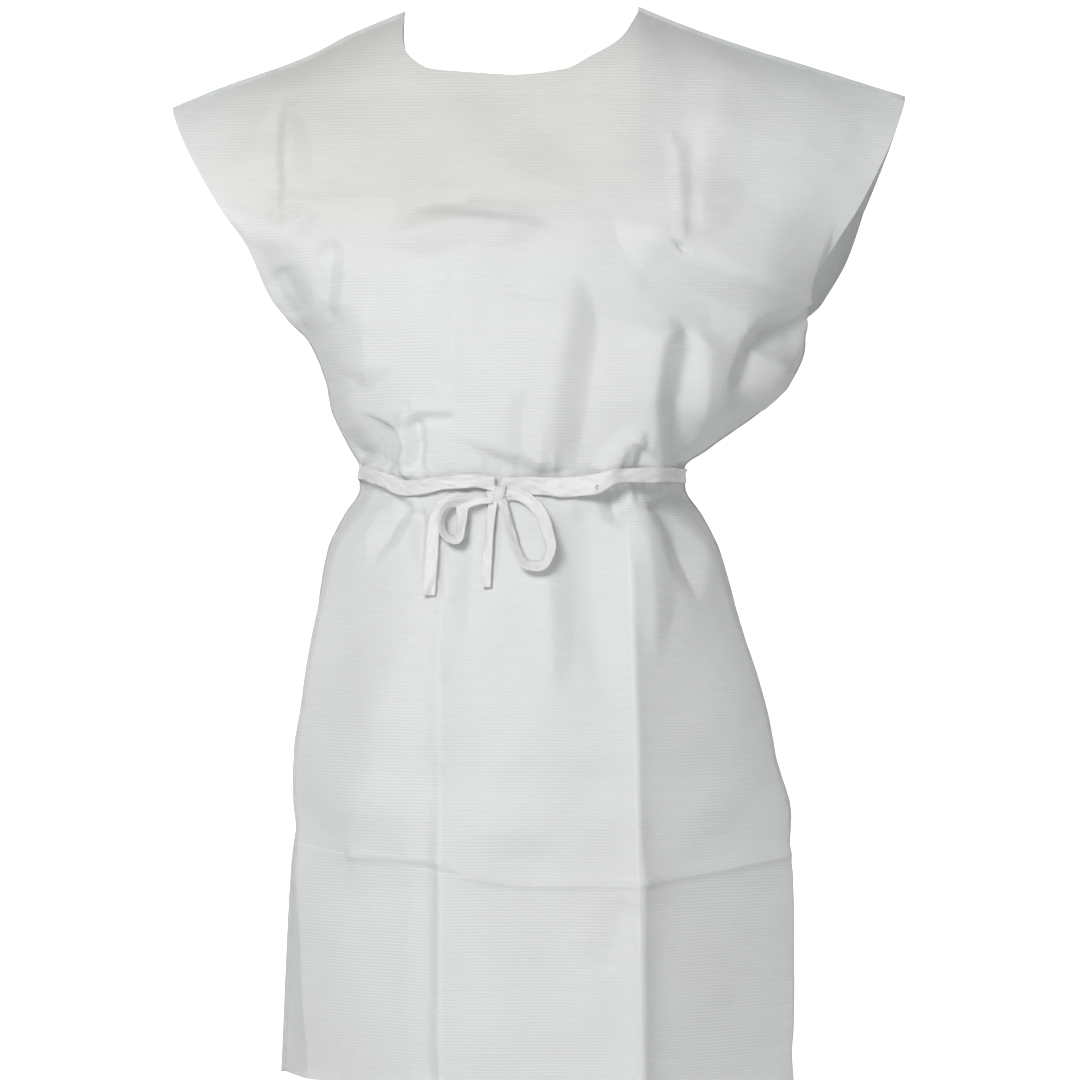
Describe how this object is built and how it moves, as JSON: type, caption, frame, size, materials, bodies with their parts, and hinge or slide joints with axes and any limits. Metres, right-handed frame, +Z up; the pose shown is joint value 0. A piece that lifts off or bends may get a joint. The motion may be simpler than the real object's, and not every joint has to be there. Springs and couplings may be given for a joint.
{
  "type": "patient gown",
  "caption": "Disposable paper exam gown in worn shape: wide cap shoulders, round neck, back opening, flat waist strap tied in a bow in front.",
  "frame": {"origin": "midway between the two neck ends of the shoulder seams, where the wearer's shoulders carry the gown", "axes": "+Z up, -Y towards the gown's front, +X to the right as seen from the front"},
  "size_m": [0.7329, 0.3095, 1.0678],
  "materials": {
    "sheet": "matt embossed white tissue laminate with fine level ribs and packing creases",
    "bond": "pressed and bonded edge of the same white laminate",
    "strap": "soft white nonwoven strap, slightly brighter and smoother than the sheets"
  },
  "bodies": {
    "gown": {"front_panel": "sheet", "back_panel_left": "sheet", "back_panel_right": "sheet", "shoulder_seam_left": "bond", "shoulder_seam_right": "bond", "side_seam_left": "bond", "side_seam_right": "bond", "waist_tie": "strap", "tie_weld_spot": "bond", "bow_knot": "strap"},
    "flap_left": {"back_flap_left": "sheet"},
    "flap_right": {"back_flap_right": "sheet"},
    "bow_left": {"bow_loop_left": "strap", "tie_tail_left": "strap"},
    "loop_right": {"bow_loop_right": "strap"},
    "tail_right": {"tie_tail_right": "strap"}
  },
  "joints": [
    {"name": "flap_left_fold", "type": "hinge", "parent": "gown", "child": "flap_left", "pos_m": [-0.128, 0.0814, -0.52], "axis": [0.1035, -0.0474, 0.9935], "range_deg": [0, 75]},
    {"name": "flap_right_fold", "type": "hinge", "parent": "gown", "child": "flap_right", "pos_m": [0.128, 0.08382, -0.52], "axis": [0.1034, 0.0642, -0.9926], "range_deg": [0, 75]},
    {"name": "bow_left_swing", "type": "hinge", "parent": "gown", "child": "bow_left", "pos_m": [-0.02217, -0.11666, -0.47792], "axis": [-1, 0, 0], "range_deg": [0, 60]},
    {"name": "loop_right_swing", "type": "hinge", "parent": "gown", "child": "loop_right", "pos_m": [-0.02217, -0.11666, -0.47792], "axis": [-1, 0, 0], "range_deg": [0, 60]},
    {"name": "tail_right_swing", "type": "hinge", "parent": "gown", "child": "tail_right", "pos_m": [-0.02217, -0.11666, -0.47792], "axis": [-1, 0, 0], "range_deg": [0, 60]}
  ]
}
